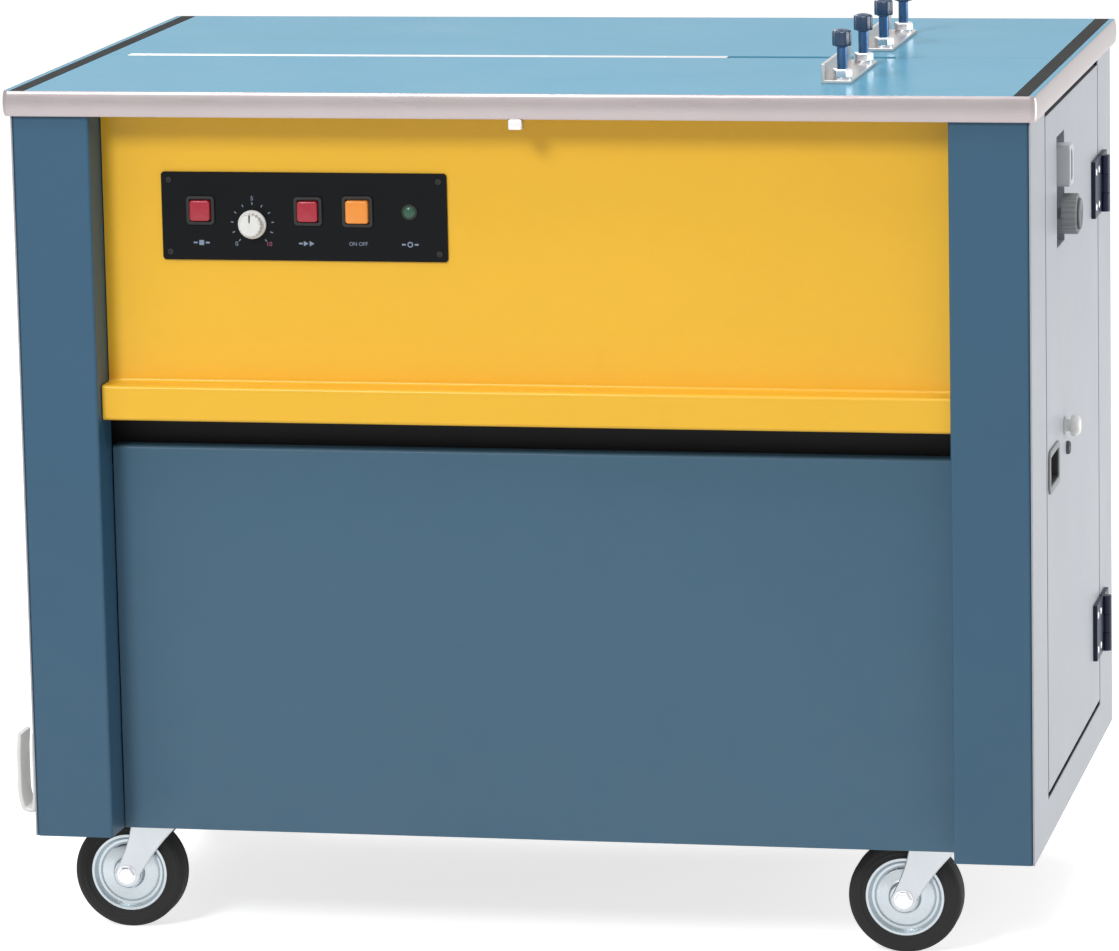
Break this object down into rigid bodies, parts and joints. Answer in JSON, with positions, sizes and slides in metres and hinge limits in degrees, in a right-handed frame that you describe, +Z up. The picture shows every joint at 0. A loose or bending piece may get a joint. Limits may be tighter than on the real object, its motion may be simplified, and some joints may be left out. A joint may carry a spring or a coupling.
{
  "type": "carton strapping machine",
  "caption": "Semi-automatic carton strapping machine: sheet-metal cabinet on swivel casters, flat slotted work table, control panel in front and a reel door at the side.",
  "frame": {"origin": "on the floor, under the middle of the table", "axes": "+X along the table, to the right seen from the operator's side; +Y away from the operator; +Z up"},
  "size_m": [0.924, 0.58, 0.811],
  "materials": {
    "blue_paint": "semi-gloss enamel on steel sheet",
    "yellow_paint": "semi-gloss enamel on steel sheet",
    "light_paint": "satin light grey enamel",
    "table_paint": "glossy sky blue enamel",
    "bright_steel": "brushed stainless steel",
    "zinc_steel": "zinc plated pressings",
    "dark_paint": "matt black enamel",
    "black_plastic": "matt black",
    "hinge_black": "blue-black glass-filled plastic",
    "white_plastic": "glossy white",
    "red_plastic": "translucent red cap",
    "orange_plastic": "translucent orange cap",
    "green_lens": "dark green lens, unlit",
    "grey_plastic": "moulded grey",
    "navy_plastic": "moulded navy",
    "wheel_metal": "plated wheel centre",
    "tyre_rubber": "black rubber",
    "strap_yellow": "wound plastic strap"
  },
  "bodies": {
    "cabinet": {"base_pan": "dark_paint", "cable_hook": "white_plastic", "caster_plates": "zinc_steel", "control_plate": "black_plastic", "cross_rails": "dark_paint", "edge_strips": "black_plastic", "front_catch": "bright_steel", "head_housing": "dark_paint", "hinge_frame_leaves": "hinge_black", "indicator_lamp": "green_lens", "left_side_panel": "light_paint", "lower_front_panel": "blue_paint", "lower_rear_panel": "blue_paint", "post_front_left": "blue_paint", "post_front_right": "blue_paint", "post_rear_left": "blue_paint", "post_rear_right": "blue_paint", "reel_bracket": "dark_paint", "right_side_frame": "light_paint", "slot_channel": "dark_paint", "stop_bracket_front": "bright_steel", "stop_bracket_rear": "bright_steel", "stop_knobs": "navy_plastic", "strap_guide": "bright_steel", "strap_reel": "strap_yellow", "table_ledge": "bright_steel", "table_plate_front": "table_paint", "table_plate_rear": "table_paint", "table_rim": "bright_steel", "tension_plate": "light_paint", "tension_scale": "grey_plastic", "upper_front_panel": "yellow_paint", "upper_rear_panel": "yellow_paint"},
    "door": {"side_door": "light_paint", "tension_collar": "light_paint", "hinge_door_leaves": "hinge_black", "door_latch": "black_plastic", "door_knob": "white_plastic", "door_lock": "black_plastic"},
    "tension_control": {"tension_knob": "grey_plastic"},
    "dial": {"dial_knob": "white_plastic"},
    "stop_push_cap": {"stop_button": "red_plastic"},
    "feed_push_cap": {"feed_button": "red_plastic"},
    "power_push_cap": {"power_switch": "orange_plastic"},
    "caster_front_left": {"caster_fork_front_left": "zinc_steel"},
    "wheel_front_left": {"wheel_hub_front_left": "wheel_metal", "wheel_tyre_front_left": "tyre_rubber"},
    "caster_front_right": {"caster_fork_front_right": "zinc_steel"},
    "wheel_front_right": {"wheel_hub_front_right": "wheel_metal", "wheel_tyre_front_right": "tyre_rubber"},
    "caster_rear_left": {"caster_fork_rear_left": "zinc_steel"},
    "wheel_rear_left": {"wheel_hub_rear_left": "wheel_metal", "wheel_tyre_rear_left": "tyre_rubber"},
    "caster_rear_right": {"caster_fork_rear_right": "zinc_steel"},
    "wheel_rear_right": {"wheel_hub_rear_right": "wheel_metal", "wheel_tyre_rear_right": "tyre_rubber"}
  },
  "joints": [
    {"name": "door_hinge", "type": "hinge", "parent": "cabinet", "child": "door", "pos_m": [0.45, 0.1875, 0.216], "axis": [0, 0, 1], "range_deg": [0, 110]},
    {"name": "tension_turn", "type": "hinge", "parent": "cabinet", "child": "tension_control", "pos_m": [0.444, -0.084, 0.637], "axis": [1, 0, 0], "range_deg": [-150, 150]},
    {"name": "dial_turn", "type": "hinge", "parent": "cabinet", "child": "dial", "pos_m": [-0.239, -0.25, 0.645], "axis": [0, -1, 0], "range_deg": [-140, 140]},
    {"name": "stop_push", "type": "slide", "parent": "cabinet", "child": "stop_push_cap", "axis": [0, 1, 0], "range_m": [0, 0.003], "stiffness_N_per_m": 400},
    {"name": "feed_push", "type": "slide", "parent": "cabinet", "child": "feed_push_cap", "axis": [0, 1, 0], "range_m": [0, 0.003], "stiffness_N_per_m": 400},
    {"name": "power_push", "type": "slide", "parent": "cabinet", "child": "power_push_cap", "axis": [0, 1, 0], "range_m": [0, 0.003], "stiffness_N_per_m": 400},
    {"name": "swivel_front_left", "type": "hinge", "parent": "cabinet", "child": "caster_front_left", "pos_m": [-0.351, -0.191, 0.127], "axis": [0, 0, 1], "continuous": true},
    {"name": "roll_front_left", "type": "hinge", "parent": "caster_front_left", "child": "wheel_front_left", "pos_m": [-0.383, -0.191, 0.05], "axis": [0, 1, 0], "continuous": true},
    {"name": "swivel_front_right", "type": "hinge", "parent": "cabinet", "child": "caster_front_right", "pos_m": [0.351, -0.191, 0.127], "axis": [0, 0, 1], "continuous": true},
    {"name": "roll_front_right", "type": "hinge", "parent": "caster_front_right", "child": "wheel_front_right", "pos_m": [0.319, -0.191, 0.05], "axis": [0, 1, 0], "continuous": true},
    {"name": "swivel_rear_left", "type": "hinge", "parent": "cabinet", "child": "caster_rear_left", "pos_m": [-0.351, 0.191, 0.127], "axis": [0, 0, 1], "continuous": true},
    {"name": "roll_rear_left", "type": "hinge", "parent": "caster_rear_left", "child": "wheel_rear_left", "pos_m": [-0.383, 0.191, 0.05], "axis": [0, 1, 0], "continuous": true},
    {"name": "swivel_rear_right", "type": "hinge", "parent": "cabinet", "child": "caster_rear_right", "pos_m": [0.351, 0.191, 0.127], "axis": [0, 0, 1], "continuous": true},
    {"name": "roll_rear_right", "type": "hinge", "parent": "caster_rear_right", "child": "wheel_rear_right", "pos_m": [0.319, 0.191, 0.05], "axis": [0, 1, 0], "continuous": true}
  ]
}
